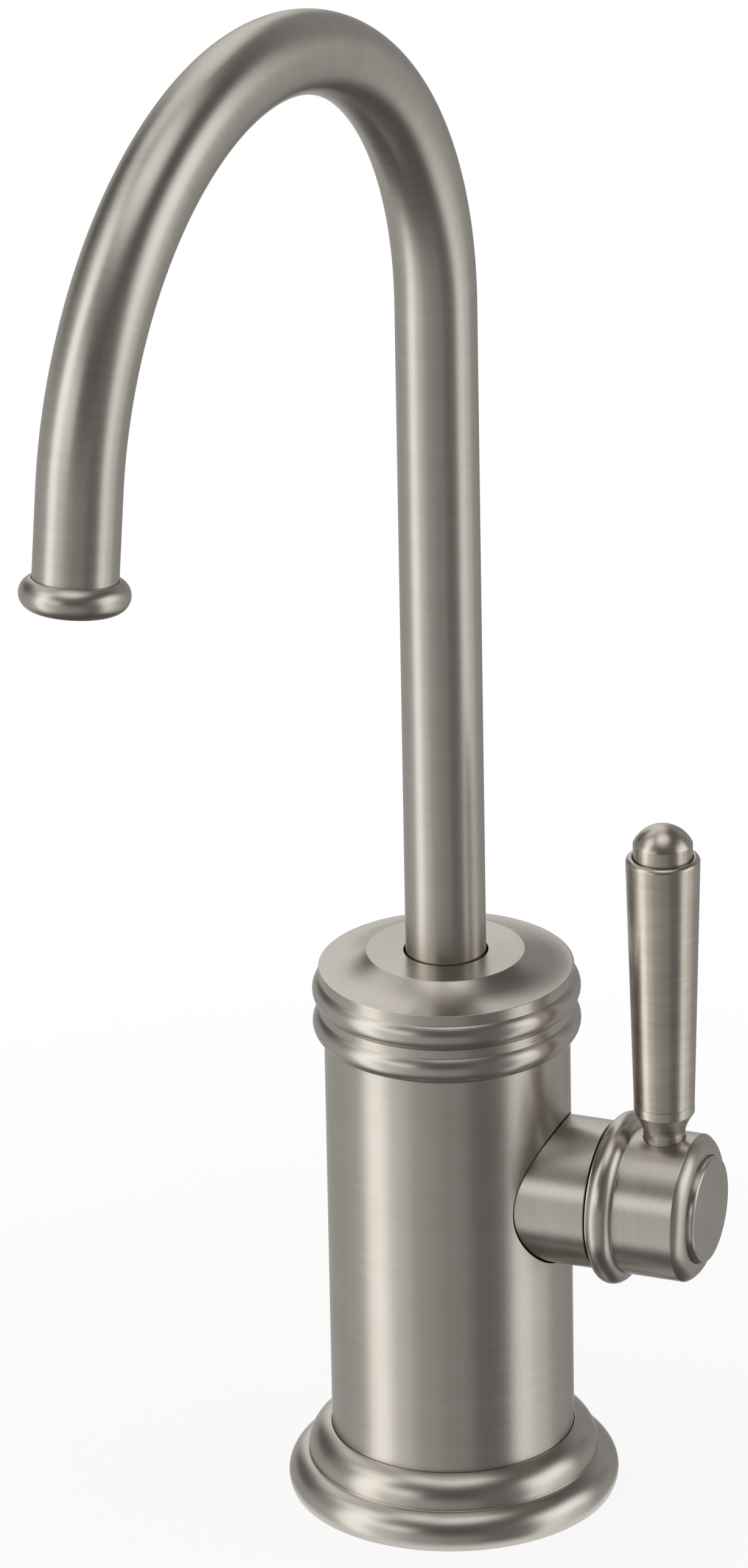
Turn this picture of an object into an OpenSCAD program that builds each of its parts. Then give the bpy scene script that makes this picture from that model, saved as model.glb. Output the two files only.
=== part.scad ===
// Hot and cold water dispenser faucet: a gooseneck spout on a beaded column, with one side lever.
// The origin is at the deck plane on the column's axis. +Z is up and the handle points along +X.
// All lengths are millimetres and all angles are degrees.

/* [Column] */
// Outer radius of the tall column
column_r = 24.5; // [22.5:0.5:27]
// Wall of the column tube
column_wall = 2.2; // [1.6:0.1:2.6]
// Height of the column's top edge above the deck
column_top = 99.4; // [96:0.2:112]

/* [Base flange] */
// How far the lower bead, the flange's widest, stands out from the column's face
flange_reach = 8.9; // [8:0.1:13]
// Radius of the lower bead's round
lower_bead_r = 4.9; // [4:0.1:5.4]
// Height of the lower bead's centre above the deck
lower_bead_z = 2.3; // [1.5:0.1:3]
// Radius of the upper bead's round
upper_bead_r = 5.8; // [4.8:0.1:6.2]
// Height of the upper bead's centre above the deck
upper_bead_z = 7.8; // [7.2:0.1:9]
// How far the upper bead's centre lies inside the column's face
upper_bead_inset = 1; // [0:0.1:1.2]
// Thickness of the flange's floor, which the column and the valve body stand on
flange_floor = 6; // [4:0.5:7]
// Thickness of the deck gasket, flush in its groove
gasket_t = 1.5; // [1:0.1:2.5]
// Width of the deck gasket
gasket_w = 4.8; // [3:0.2:5.6]
// How far the gasket's inner edge lies inside the column's face
gasket_inset = 2.5; // [1.5:0.5:5]

/* [Top cap] */
// Height of the cap from the column's edge to its flat disc
cap_h = 18; // [17.2:0.2:20]
// How far the crease, where the top surface ends, stands out from the column's face
cap_crease_reach = 0.9; // [0.4:0.1:1.5]
// Width of the sloping ring between the flat disc and the crease
cap_slope_w = 9.7; // [7:0.1:11]
// Fall of the top surface from the disc to the crease
cap_fall = 3.2; // [2.4:0.1:4]
// Depth of the dished curve in that surface, under a straight slope
cap_dish = 0.7; // [0.3:0.05:1]
// Radius of each bead's round
cap_bead_r = 3.2; // [2.6:0.1:3.4]
// How far the beads stand out from the column's face
cap_bead_reach = 2.2; // [1.7:0.1:2.6]
// Height from the lower bead's centre to the upper bead's centre
cap_bead_pitch = 7; // [6.6:0.05:7.2]
// Thickness of the cap's roof at the disc
cap_roof = 5; // [3:0.2:5.6]
// Depth of the spigot that drops into the column
cap_spigot_h = 6; // [4:0.5:8]

/* [Spout] */
// Outer radius of the spout tube
spout_r = 8; // [7.6:0.1:8.2]
// Wall of the spout tube
spout_wall = 1.2; // [0.9:0.1:1.6]
// Height above the deck where the straight riser ends
riser_top = 253.5; // [200:0.5:320]
// Radius of the gooseneck's centreline
neck_bend_r = 69.3; // [50:0.1:85]
// Angle that the gooseneck turns through
neck_turn = 171.6; // [150:0.2:180]
// Straight length from the bend to the tube's end
outlet_straight = 20.7; // [16:0.1:40]
// Heading of the spout at rest, turned from the handle's axis
spout_heading = -97; // [-180:1:180]

/* [Outlet] */
// Widest radius of the outlet collar
collar_r = 10.3; // [9.8:0.1:12]
// Radius of the collar's round
collar_bead_r = 3.05; // [2.9:0.05:3.6]
// Height of the collar
collar_h = 5.8; // [5:0.1:6]
// Thickness of the lip that holds the tube's end and the aerator
collar_lip = 1.2; // [0.8:0.1:1.6]
// Inner radius of that lip
collar_lip_r = 5.7; // [5.2:0.1:5.9]
// Length of the aerator housing
aerator_h = 9; // [8:0.5:14]
// Wall of the aerator housing
aerator_wall = 1; // [0.8:0.1:1.1]
// Thickness of the perforated flow disc
flow_disc_t = 2; // [1:0.2:3]
// Radius of each hole in the flow disc
flow_hole_r = 0.55; // [0.4:0.05:0.6]
// Thickness of the aerator's sealing washer
aerator_washer_t = 1.5; // [1:0.1:2.5]
// Thickness of the aerator screen
screen_t = 0.5; // [0.3:0.1:0.8]

/* [Handle boss] */
// Height of the handle's axis above the deck
port_z = 68.6; // [48:0.1:69]
// Outer radius of the side boss
boss_r = 14.9; // [14.2:0.05:15.2]
// How far the boss stands out from the column's face
boss_reach = 9.2; // [7.5:0.1:13]
// Distance from the column's axis to the boss's seat on the valve body
boss_seat = 14; // [13.2:0.1:14.2]
// Bore radius of the boss
boss_bore_r = 11.8; // [11.8:0.05:12.2]

/* [Handle hub] */
// Length of the hub from its inner face to its outer face
hub_len = 20.1; // [19:0.1:26]
// Radius of the hub's plain round
hub_r = 14.9; // [14.2:0.1:15.4]
// Radius of the bead at the hub's inner end
hub_bead_r = 2.6; // [2:0.1:3]
// How far that bead stands out from the hub's plain round
hub_bead_reach = 2.5; // [1.8:0.1:2.9]
// Length of the hub's inner end before the bead
hub_lip = 0.4; // [0.2:0.1:1]
// Radius of the rounded shoulder at the hub's outer end
hub_shoulder_r = 4.2; // [3.9:0.05:4.6]
// How far the centre of that round lies inside the hub's plain round
hub_shoulder_in = 3.65; // [3.2:0.05:3.7]
// Radius of the end cap
end_cap_r = 10.8; // [9.5:0.1:10.9]
// How far the end cap stands proud of the hub
end_cap_proud = 1.3; // [0.6:0.1:2]
// Depth that the end cap is let into the hub
end_cap_depth = 2.5; // [1.8:0.1:2.8]
// Bevel round the end cap's face
end_cap_bevel = 0.4; // [0.2:0.05:0.6]
// Distance from the hub's inner face to the lever's axis
lever_in = 11.7; // [10.6:0.1:12.6]

/* [Lever] */
// Height of the lever's top above the handle's axis
lever_top = 81.8; // [70:0.1:110]
// Radius of the ferrule's neck
lever_neck_r = 4.2; // [4:0.1:4.6]
// Height above the handle's axis where the neck ends and the flare begins
lever_neck_top = 16.2; // [15.8:0.1:17]
// Height of the flare from neck to sleeve
lever_flare_h = 4.2; // [3:0.1:5.4]
// Height of the ferrule's straight band, up to the seam
lever_band_h = 1.9; // [0.6:0.1:3]
// Radius of the sleeve at the seam
sleeve_low_r = 6.05; // [5.6:0.05:6.4]
// Radius of the sleeve at its rim
sleeve_top_r = 7.35; // [7.1:0.05:8]
// Rounding of the sleeve's rim
sleeve_rim_r = 1; // [0.2:0.05:1.1]
// Radius of the finial
finial_r = 5.9; // [5.4:0.05:6]
// Height of the finial above the sleeve's rim
finial_h = 6.6; // [5:0.1:8]
// Radius of the finial's domed crown
finial_crown_r = 6.55; // [6.2:0.05:12]
// Depth of the pocket in the rim that the finial stands in
finial_pocket = 1.2; // [0.8:0.1:2]
// Radius of the threaded rod inside the lever
lever_rod_r = 3; // [2.5:0.1:3.2]

/* [Deck mounting] */
// Radius of the plain shoulder that centres in the deck hole
shank_plain_r = 14; // [13.8:0.1:15]
// Length of that shoulder under the deck plane
shank_plain_len = 12; // [8:1:20]
// Radius of the threaded shank
shank_r = 13.5; // [13:0.1:13.6]
// Length of the shank under the deck plane
shank_len = 60; // [56:1:80]
// Bore radius of the shank, which the two inlet tubes pass through
shank_bore_r = 10.2; // [10:0.1:10.8]
// Radius of the shank's upper spigot, screwed into the valve body
shank_spigot_r = 12.2; // [12:0.1:12.6]
// Length of the shank's upper spigot inside the valve body
shank_spigot_h = 10; // [7:0.5:14]
// Length of the shank that shows under the mounting nut
nut_clear = 10.5; // [0:0.5:14]
// Outer radius of both washers
washer_r = 23; // [21:0.5:26]
// Thickness of the rubber washer
rubber_washer_t = 2.5; // [2:0.5:4]
// Thickness of the metal washer
metal_washer_t = 2; // [1.5:0.25:3]
// Radius of the mounting nut across its corners
nut_corner_r = 20; // [19:0.5:22]
// Thickness of the mounting nut
nut_t = 9; // [7:0.5:11]

/* [Inlets] */
// Outer radius of the inlet tubes
inlet_r = 3.175; // [3:0.025:3.3]
// Wall of the inlet tubes
inlet_wall = 0.8; // [0.6:0.05:0.9]
// Distance from the column's axis to each inlet tube's axis
inlet_offset = 6.2; // [5.8:0.1:6.4]
// Length of the inlet tubes that shows under the shank
inlet_stub = 18; // [12:1:60]
// Depth of the inlet tubes' sockets in the valve body
inlet_socket = 8; // [5:0.5:10]

/* [Cartridge] */
// Distance from the column's axis to the cartridge's seat
cartridge_seat = 6; // [5.4:0.1:6.6]
// Outer radius of the cartridge
cartridge_r = 11.6; // [11.2:0.05:11.65]
// Thickness of the rubber seat seal
seat_seal_t = 1.4; // [1:0.1:1.8]
// Thickness of each ceramic disc
ceramic_t = 3; // [2.4:0.1:3.2]
// Radius of the ceramic discs
ceramic_r = 9.4; // [9:0.1:9.5]
// Radius of the middle port, where the mixed water leaves
outlet_port_r = 2.2; // [1.8:0.1:2.3]
// Radius of the hot port and of the cold port
inlet_port_r = 1.8; // [1.4:0.1:1.9]
// Distance from the handle's axis to the hot port and to the cold port
inlet_port_offset = 6.2; // [5.8:0.1:6.4]
// Thickness of the stem's drive plate
drive_plate_t = 2.1; // [1.8:0.1:2.4]
// Radius of the cartridge stem's journal
stem_r = 5; // [4.6:0.1:5.2]
// Radius of the cartridge stem's outer end
stem_end_r = 4.2; // [3.8:0.1:4.3]
// Outer radius of the cartridge's neck
cartridge_neck_r = 8.6; // [8:0.1:8.8]
// Length of the cartridge's wide barrel
cartridge_barrel = 11.6; // [11:0.1:12.4]
// Length of the cartridge's neck
cartridge_neck = 9; // [8:0.2:9.4]
// Length of the quarter-turn stops
stop_len = 2; // [1.4:0.1:2.2]
// Half of the angle that the moving stop fills
stop_half = 20; // [12:1:24]
// Turn of the handle from rest to each stop
handle_turn = 90; // [60:5:90]

/* [Valve body] */
// Radial gap between the valve body's barrel and the column
valve_gap = 1.3; // [0.9:0.1:1.7]
// Wall of the valve body's neck round the spout's bearing, which the cap screws on
valve_neck_wall = 2.9; // [2.2:0.1:4.8]
// Height of that neck above the column's edge
valve_neck_rise = 7.6; // [7:0.1:8.4]
// Radius of the water passages from the inlets
passage_r = 1.8; // [1.4:0.1:1.9]
// Radius of the passage up to the spout
riser_passage_r = 3.4; // [3:0.1:3.6]

/* [Spout bearing] */
// Depth of the counterbore that holds the spout's bearing
bearing_depth = 11; // [10:0.2:12]
// How far that counterbore stands out round the spout tube
bearing_reach = 4.1; // [3.8:0.1:4.6]
// Thickness of each bearing washer
bearing_t = 1.5; // [1:0.1:1.8]
// Thickness of the collar on the spout's stem
stem_collar_t = 3; // [2.4:0.1:3.4]
// Radius of the spout stem's journal
spout_journal_r = 6.9; // [6.6:0.1:7.2]
// Length of the spout stem's journal
spout_journal_len = 12; // [11:0.2:12.4]
// Bore radius of the spout stem
spout_stem_bore_r = 4; // [3.6:0.1:4.2]
// Length of the stem's spigot inside the spout tube
spout_spigot_len = 11; // [6:0.5:16]
// Thickness of the hexagonal head of the spout nut
spout_nut_head = 2.5; // [2:0.1:3]
// How far the corners of that head stand out from the counterbore
spout_nut_reach = 2.3; // [1.6:0.1:2.8]
// Half the thickness of the spout's sealing rings
ring_r = 0.95; // [0.8:0.05:1]

/* [Clearances] */
// Radial gap of a screwed or pushed fit
fit_gap = 0.1; // [0.05:0.01:0.15]
// Radial gap of a turning fit
turn_gap = 0.06; // [0.04:0.01:0.08]
// Gap between faces that turn on each other
face_gap = 0.05; // [0.03:0.01:0.1]
// Gap round the spout tube where it leaves the cap
cap_hole_gap = 0.4; // [0.3:0.05:0.6]
// Gap between the boss's end and the handle hub
hub_gap = 0.3; // [0.2:0.05:0.6]
// Gap round the boss in the column's port
port_gap = 0.35; // [0.1:0.05:0.5]

/* [Hidden] */
$fn = 96;

// Overrun of every cut past the face that it opens
over = 1;
tiny = over / 100;

// Heights, from the deck plane up
cap_top = column_top + cap_h;
crease_z = cap_top - cap_fall;
roof_under = cap_top - cap_roof;
column_bore_r = column_r - column_wall;
flange_r = column_r + flange_reach;
gasket_inner_r = column_r - gasket_inset;
cap_crease_r = column_r + cap_crease_reach;
cap_disc_r = cap_crease_r - cap_slope_w;
cap_bead_out_r = column_r + cap_bead_reach;
cap_bead_c = cap_bead_out_r - cap_bead_r;
low_bead_z = column_top + sqrt(pow(cap_bead_r, 2) - pow(cap_bead_reach - cap_bead_r, 2));
high_bead_z = low_bead_z + cap_bead_pitch;
spigot_under = column_top - cap_spigot_h;
shank_top = flange_floor + shank_spigot_h;
inlet_top = shank_top + inlet_socket;
nut_under = nut_clear - shank_len;
metal_washer_z = nut_under + nut_t;
rubber_washer_z = metal_washer_z + metal_washer_t;

// The spout's bearing, from its nut down
valve_r = column_bore_r - valve_gap;
bearing_r = spout_r + bearing_reach;
valve_neck_r = bearing_r + valve_neck_wall;
spout_nut_corner_r = bearing_r + spout_nut_reach;
neck_top = column_top + valve_neck_rise;
bearing_floor = neck_top - bearing_depth;
stem_collar_z = bearing_floor + bearing_t;
tube_foot = stem_collar_z + stem_collar_t;
upper_bearing_z = tube_foot + face_gap;
spout_nut_z = upper_bearing_z + bearing_t;
journal_foot = bearing_floor - spout_journal_len;
spout_bore_r = spout_r - spout_wall;
spout_spigot_r = spout_bore_r - fit_gap;
ring_groove_w = 2 * ring_r + 2 * fit_gap;
ring_centre_r = spout_journal_r + turn_gap / 2 - ring_r;
ring_pitch = spout_journal_len / 3;

// The cartridge, from its seat outward along the handle's axis
fixed_disc_x = cartridge_seat + seat_seal_t;
moving_disc_x = fixed_disc_x + ceramic_t + face_gap;
drive_plate_x = moving_disc_x + ceramic_t;
journal_x = drive_plate_x + drive_plate_t;
cartridge_shoulder = fixed_disc_x + cartridge_barrel;
cartridge_end = cartridge_shoulder + cartridge_neck;
stem_end_x = cartridge_end + stop_len + fit_gap;
cavity_r = ceramic_r + 2 * fit_gap;
stem_bore_r = stem_r + turn_gap;
cartridge_ring_r = stem_r / 9;
cartridge_ring_x = (journal_x + cartridge_end) / 2;
bonnet_thread = cartridge_neck * 2 / 3;
bonnet_bore_r = cartridge_neck_r + fit_gap;
bonnet_r = boss_bore_r - fit_gap;

// The handle hub, outward along the handle's axis
boss_end = column_r + boss_reach;
hub_x = boss_end + hub_gap;
hub_end = hub_x + hub_len;
lever_x = hub_x + lever_in;
hub_bead_c = hub_r + hub_bead_reach - hub_bead_r;
hub_bead_x = hub_lip + hub_bead_r;
end_cap_x = hub_end - end_cap_depth;
screw_head_r = stem_end_r;
screw_head_t = screw_head_r * 3 / 4;
screw_seat = end_cap_x - screw_head_t - fit_gap;
screw_r = stem_end_r / 2;
socket_end = screw_seat - screw_r * 2 / 3;
stem_tip = socket_end - fit_gap;
screw_tip = stem_tip - screw_r * 3;
hub_web = hub_x + 2 * hub_bead_r;
socket_r = stem_end_r + fit_gap;

// The lever, upward from the handle's axis
rod_foot = socket_r + 2 * screw_r / 2;
ferrule_foot = hub_r - lever_rod_r;
flare_z = lever_neck_top;
band_z = flare_z + lever_flare_h;
seam_z = band_z + lever_band_h;
rim_z = lever_top - finial_h;
pocket_z = rim_z - finial_pocket;
pocket_r = finial_r + 2 * fit_gap;
rod_top = rim_z + finial_h / 3;
rod_hole_r = lever_rod_r + fit_gap;

// The outlet, down from the end of the bend
bend_end = 180 - neck_turn;
lip_z = -outlet_straight - collar_lip;
collar_bead_c = collar_r - collar_bead_r;
collar_mid = lip_z + collar_h / 2;
aerator_r = spout_bore_r - fit_gap;
aerator_bore_r = aerator_r - aerator_wall;
ledge_z = aerator_h / 3;
ledge_r = aerator_bore_r - aerator_wall / 2;
flow_z = -outlet_straight + ledge_z;
screen_z = flow_z + flow_disc_t;
flow_disc_r = aerator_bore_r - fit_gap;
flow_ring_shares = [0.36, 0.74];
flow_ring_counts = [6, 12];

// Places a child on the handle's axis, x from the column's axis, with its own Z pointing outward
module on_handle(x = 0) {
    translate([x, 0, port_z])
        rotate([0, 90, 0])
            children();
}

// Turns a child to the spout's heading at rest
module on_spout() {
    rotate([0, 0, spout_heading])
        children();
}

// Places a child at the bend's centre, lying in the plane of the gooseneck
module on_bend() {
    on_spout()
        translate([neck_bend_r, 0, riser_top])
            rotate([90, 0, 0])
                children();
}

// Places a child at the end of the bend, with its own -Z pointing out of the outlet
module at_outlet() {
    on_bend()
        rotate([0, 0, bend_end])
            translate([neck_bend_r, 0, 0])
                rotate([-90, 0, 0])
                    children();
}

// A solid ring or tube standing on z
module ring(outer, inner, h, z = 0) {
    translate([0, 0, z])
        difference() {
            cylinder(r = outer, h = h);
            translate([0, 0, -over])
                cylinder(r = inner, h = h + 2 * over);
        }
}

// A hole of the given depth that opens downward at z
module bore_down(r, z, depth) {
    translate([0, 0, z - over])
        cylinder(r = r, h = depth + over);
}

// A block whose outline opens from the axis by half an angle to each side of +X
module wedge(half, reach, z, h) {
    translate([0, 0, z])
        linear_extrude(h)
            polygon([
                [0, 0],
                reach * [cos(half), -sin(half)],
                reach * [2, -1],
                reach * [2, 1],
                reach * [cos(half), sin(half)]
            ]);
}

// The three ports of the valve, in a row across the handle's axis
module ports(z, h) {
    translate([0, 0, z])
        cylinder(r = outlet_port_r, h = h);
    for (side = [-1, 1])
        translate([0, side * inlet_port_offset, z])
            cylinder(r = inlet_port_r, h = h);
}

// The turned base plate: two stacked beads round a stepped bore
module base_flange() {
    floor_bore = shank_spigot_r + fit_gap;
    seat_r = column_r + fit_gap;
    color([0.62, 0.6, 0.57])
        rotate_extrude()
            difference() {
                union() {
                    intersection() {
                        translate([flange_r - lower_bead_r, lower_bead_z])
                            circle(r = lower_bead_r);
                        square([flange_r, lower_bead_z + lower_bead_r]);
                    }
                    square([flange_r - lower_bead_r, lower_bead_z + lower_bead_r]);
                    translate([column_r - upper_bead_inset, upper_bead_z])
                        circle(r = upper_bead_r);
                    square([column_r, upper_bead_z]);
                }
                translate([-over, -over])
                    square([floor_bore + over, flange_floor + 2 * over]);
                translate([-over, flange_floor])
                    square([seat_r + over, upper_bead_z + upper_bead_r]);
                translate([gasket_inner_r, -over])
                    square([gasket_w, gasket_t + over]);
            }
}

// The flat rubber ring in the flange's groove
module deck_gasket() {
    color([0.12, 0.12, 0.12])
        ring(gasket_inner_r + gasket_w - fit_gap, gasket_inner_r + fit_gap, gasket_t);
}

// The tall tube that hides the valve, with a round port for the boss
module column() {
    color([0.6, 0.58, 0.55])
        difference() {
            ring(column_r, column_bore_r, column_top - flange_floor, flange_floor);
            on_handle(boss_seat)
                cylinder(r = boss_r + port_gap, h = column_r);
        }
}

// The outline of the cap's top surface: a flat disc, a shallow dish and a crisp crease
module cap_top_outline() {
    run = cap_crease_r - cap_disc_r;
    chord = norm([run, cap_fall]);
    dish_r = (pow(chord / 2, 2) + pow(cap_dish, 2)) / (2 * cap_dish);
    lean = atan2(cap_fall, run);
    difference() {
        polygon([
            [0, column_top],
            [cap_crease_r, column_top],
            [cap_crease_r, crease_z],
            [cap_disc_r, cap_top],
            [0, cap_top]
        ]);
        translate([
            (cap_disc_r + cap_crease_r) / 2 + (dish_r - cap_dish) * sin(lean),
            (cap_top + crease_z) / 2 + (dish_r - cap_dish) * cos(lean)
        ])
            circle(r = dish_r, $fn = 4 * $fn);
    }
}

// The turned cap: dished top, two beads and a spigot that drops into the column
module top_cap() {
    color([0.64, 0.62, 0.59])
        rotate_extrude()
            difference() {
                union() {
                    cap_top_outline();
                    for (z = [low_bead_z, high_bead_z])
                        translate([cap_bead_c, z])
                            circle(r = cap_bead_r);
                    translate([0, spigot_under])
                        square([column_bore_r - fit_gap, cap_h / 2 + cap_spigot_h]);
                }
                translate([column_bore_r - fit_gap, spigot_under])
                    square([cap_bead_out_r, cap_spigot_h]);
                translate([-over, spigot_under - over])
                    square([valve_neck_r + fit_gap + over, roof_under - spigot_under + over]);
                translate([-over, spigot_under])
                    square([spout_r + cap_hole_gap + over, cap_top]);
            }
}

// The water ways inside the valve body
module water_ways() {
    translate([0, 0, port_z])
        cylinder(r = riser_passage_r, h = journal_foot - port_z + over);
    on_handle()
        ports(0, cartridge_seat + over);
    for (side = [-1, 1]) {
        translate([0, side * inlet_offset, inlet_top - over])
            cylinder(r = passage_r, h = port_z - inlet_top + over);
        translate([0, side * inlet_offset, shank_top - over])
            cylinder(r = inlet_r - fit_gap, h = inlet_socket + over);
    }
}

// The brass block inside the column that joins inlets, cartridge and spout
module valve_body() {
    color([0.78, 0.62, 0.32])
        difference() {
            union() {
                translate([0, 0, flange_floor])
                    cylinder(r = valve_r, h = spigot_under - flange_floor - 2 * fit_gap);
                translate([0, 0, flange_floor])
                    cylinder(r = valve_neck_r, h = neck_top - flange_floor);
            }
            bore_down(shank_spigot_r + fit_gap, flange_floor, shank_spigot_h);
            translate([0, 0, bearing_floor])
                cylinder(r = bearing_r, h = bearing_depth + over);
            translate([0, 0, journal_foot - fit_gap])
                cylinder(r = spout_journal_r + turn_gap, h = spout_journal_len + over);
            on_handle(boss_seat)
                cylinder(r = boss_r + fit_gap, h = column_r);
            on_handle(cartridge_seat)
                cylinder(r = cartridge_r + fit_gap, h = column_r);
            water_ways();
        }
}

// The fixed round boss between the column and the handle
module side_boss() {
    color([0.6, 0.58, 0.55])
        on_handle()
            ring(boss_r, boss_bore_r, boss_end - boss_seat, boss_seat);
}

// The hollow shank: a spigot up into the valve body, a plain shoulder and the threaded length
module threaded_shank() {
    end_bevel = shank_r / 13;
    color([0.76, 0.6, 0.32])
        rotate_extrude()
            polygon([
                [shank_bore_r, shank_top],
                [shank_bore_r, -shank_len],
                [shank_r - end_bevel, -shank_len],
                [shank_r, end_bevel - shank_len],
                [shank_r, -shank_plain_len],
                [shank_plain_r, -shank_plain_len],
                [shank_plain_r, 0],
                [shank_spigot_r, 0],
                [shank_spigot_r, shank_top]
            ]);
}

// A copper tube from its socket in the valve body down past the shank's end
module inlet_tube(side) {
    color([0.72, 0.45, 0.3])
        translate([0, side * inlet_offset, 0])
            difference() {
                union() {
                    translate([0, 0, -shank_len - inlet_stub])
                        cylinder(r = inlet_r, h = shank_len + inlet_stub + shank_top);
                    cylinder(r = inlet_r - 2 * fit_gap, h = inlet_top);
                }
                translate([0, 0, -shank_len - inlet_stub - over])
                    cylinder(
                        r = inlet_r - inlet_wall,
                        h = shank_len + inlet_stub + inlet_top + 2 * over
                    );
            }
}

module hot_inlet_tube() {
    inlet_tube(1);
}

module cold_inlet_tube() {
    inlet_tube(-1);
}

// The rubber disc that seals the three ports against the valve body
module seat_seal() {
    color([0.15, 0.15, 0.16])
        on_handle(cartridge_seat)
            difference() {
                cylinder(r = cartridge_r, h = seat_seal_t);
                ports(-over, seat_seal_t + 2 * over);
            }
}

// The ceramic disc that stays still, with its three ports
module fixed_disc() {
    color([0.93, 0.93, 0.9])
        on_handle(fixed_disc_x)
            difference() {
                cylinder(r = ceramic_r, h = ceramic_t);
                ports(-over, ceramic_t + 2 * over);
            }
}

// The ceramic disc that turns: its slot joins the middle port to one side port at each stop
module moving_disc() {
    color([0.96, 0.96, 0.94])
        on_handle(moving_disc_x)
            difference() {
                cylinder(r = ceramic_r, h = ceramic_t);
                translate([0, 0, -over])
                    cylinder(r = outlet_port_r, h = ceramic_t / 2 + over);
                translate([inlet_port_offset, 0, -over])
                    cylinder(r = inlet_port_r, h = ceramic_t / 2 + over);
                translate([0, -inlet_port_r, -over])
                    cube([inlet_port_offset, 2 * inlet_port_r, ceramic_t / 2 + over]);
            }
}

// The cartridge's shell, with a block at its end that stops the quarter turn each way
module cartridge_housing() {
    stop_gap = 2;
    block_half = 180 - handle_turn - stop_half - stop_gap;
    color([0.8, 0.66, 0.36])
        on_handle()
            union() {
                difference() {
                    union() {
                        ring(cartridge_r, stem_bore_r, cartridge_barrel, fixed_disc_x);
                        ring(cartridge_neck_r, stem_bore_r, cartridge_neck, cartridge_shoulder);
                    }
                    translate([0, 0, fixed_disc_x - over])
                        cylinder(r = cavity_r, h = journal_x + face_gap - fixed_disc_x + over);
                }
                intersection() {
                    ring(
                        cartridge_neck_r - fit_gap, stem_bore_r + fit_gap,
                        stop_len + tiny, cartridge_end - tiny
                    );
                    wedge(block_half, 2 * cartridge_neck_r, cartridge_end - over, stop_len + 2 * over);
                }
            }
}

// The stem that carries the handle: drive plate, journal with a groove, stop lug and keyed end
module cartridge_stem() {
    groove_w = 2 * cartridge_ring_r + 2 * fit_gap;
    lug_r = (stem_r + cartridge_neck_r) / 2;
    color([0.75, 0.75, 0.74])
        on_handle()
            difference() {
                union() {
                    translate([0, 0, drive_plate_x])
                        cylinder(r = ceramic_r, h = drive_plate_t);
                    translate([0, 0, drive_plate_x])
                        cylinder(r = stem_r, h = stem_end_x - drive_plate_x);
                    translate([0, 0, drive_plate_x])
                        cylinder(r = stem_end_r, h = stem_tip - drive_plate_x);
                    intersection() {
                        translate([0, 0, cartridge_end + face_gap])
                            cylinder(r = lug_r, h = stop_len - face_gap);
                        rotate([0, 0, 180])
                            wedge(stop_half, 2 * lug_r, cartridge_end, stop_len);
                    }
                }
                ring(
                    stem_r + over, stem_r - 2 * cartridge_ring_r,
                    groove_w, cartridge_ring_x - groove_w / 2
                );
                translate([0, 0, screw_tip - screw_r])
                    cylinder(r = screw_r + fit_gap, h = stem_tip - screw_tip + screw_r + over);
            }
}

// The sealing ring in the cartridge stem's groove
module cartridge_ring() {
    color([0.1, 0.1, 0.1])
        on_handle(cartridge_ring_x)
            rotate_extrude()
                translate([stem_bore_r - cartridge_ring_r - turn_gap / 4, 0])
                    circle(r = cartridge_ring_r - turn_gap / 4, $fn = 48);
}

// The nut inside the boss that clamps the cartridge on its seat
module bonnet_nut() {
    color([0.8, 0.66, 0.36])
        on_handle(cartridge_shoulder)
            difference() {
                union() {
                    cylinder(r = bonnet_r, h = bonnet_thread);
                    cylinder(r = bonnet_r - fit_gap, h = cartridge_neck, $fn = 6);
                }
                translate([0, 0, -over])
                    cylinder(r = bonnet_bore_r, h = cartridge_neck + 2 * over);
            }
}

// The slippery washers above and below the collar of the spout's stem
module lower_bearing() {
    color([0.92, 0.9, 0.84])
        ring(bearing_r - fit_gap, spout_journal_r + turn_gap, bearing_t, bearing_floor);
}

module upper_bearing() {
    color([0.92, 0.9, 0.84])
        ring(bearing_r - fit_gap, spout_r + turn_gap, bearing_t, upper_bearing_z);
}

// The nut that traps the spout's collar in the valve body
module spout_nut() {
    color([0.8, 0.66, 0.36])
        difference() {
            union() {
                translate([0, 0, spout_nut_z])
                    cylinder(r = bearing_r - fit_gap, h = neck_top - spout_nut_z + spout_nut_head);
                translate([0, 0, neck_top])
                    cylinder(r = spout_nut_corner_r, h = spout_nut_head, $fn = 6);
            }
            translate([0, 0, spout_nut_z - over])
                cylinder(r = spout_r + 2 * turn_gap, h = bearing_depth + spout_nut_head + over);
        }
}

// The soft washer that would press up against the deck's underside
module rubber_washer() {
    color([0.1, 0.1, 0.1])
        ring(washer_r, shank_plain_r + fit_gap, rubber_washer_t, rubber_washer_z);
}

module metal_washer() {
    color([0.7, 0.7, 0.7])
        ring(washer_r, shank_plain_r + fit_gap, metal_washer_t, metal_washer_z);
}

// The hexagonal mounting nut, bevelled on both faces
module mounting_nut() {
    bevel = nut_t / 8;
    flat_r = nut_corner_r * cos(30);
    color([0.78, 0.62, 0.32])
        translate([0, 0, nut_under])
            difference() {
                intersection() {
                    cylinder(r = nut_corner_r, h = nut_t, $fn = 6);
                    union() {
                        cylinder(r1 = flat_r, r2 = flat_r + 3 * bevel, h = bevel);
                        translate([0, 0, bevel])
                            cylinder(r = flat_r + 3 * bevel, h = nut_t - 2 * bevel);
                        translate([0, 0, nut_t - bevel])
                            cylinder(r1 = flat_r + 3 * bevel, r2 = flat_r, h = bevel);
                    }
                }
                translate([0, 0, -over])
                    cylinder(r = shank_r + fit_gap, h = nut_t + 2 * over);
            }
}

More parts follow.
